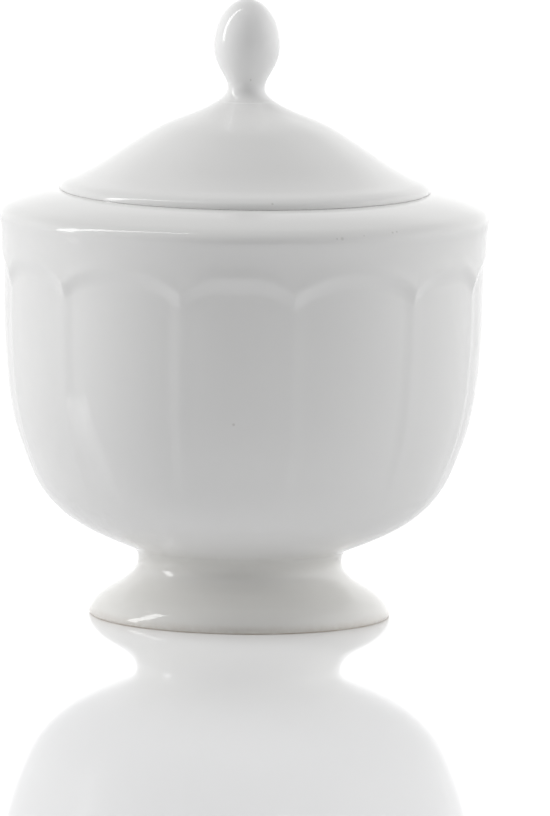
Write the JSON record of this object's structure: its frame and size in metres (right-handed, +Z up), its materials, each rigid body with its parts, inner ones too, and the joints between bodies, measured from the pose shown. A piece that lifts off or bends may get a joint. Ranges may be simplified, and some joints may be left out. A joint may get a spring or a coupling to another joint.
{
  "type": "sugar bowl",
  "caption": "Covered sugar bowl in glazed white porcelain: panelled body on a flared pedestal foot, with a low domed lid that lifts off by an egg-shaped knob.",
  "frame": {"origin": "centre of the foot ring, on the surface that the bowl stands on", "axes": "+Z up along the bowl's own axis, from the foot to the knob; -Y is the front, through the middle of a narrow panel; +X to the right of the front"},
  "size_m": [0.1056, 0.1056, 0.1334],
  "materials": {
    "bowl_porcelain": "clear gloss glaze on white porcelain",
    "foot_porcelain": "clear gloss glaze on white porcelain, bare matte bisque on the foot ring",
    "lid_porcelain": "clear gloss glaze on white porcelain",
    "knob_porcelain": "clear gloss glaze on white porcelain"
  },
  "bodies": {
    "bowl": {"bowl": "bowl_porcelain", "pedestal_foot": "foot_porcelain"},
    "lid": {"lid": "lid_porcelain", "lid_knob": "knob_porcelain"}
  },
  "joints": [
    {"name": "lid_lift", "type": "slide", "parent": "bowl", "child": "lid", "axis": [0, 0, 1], "range_m": [0, 0.1]}
  ]
}
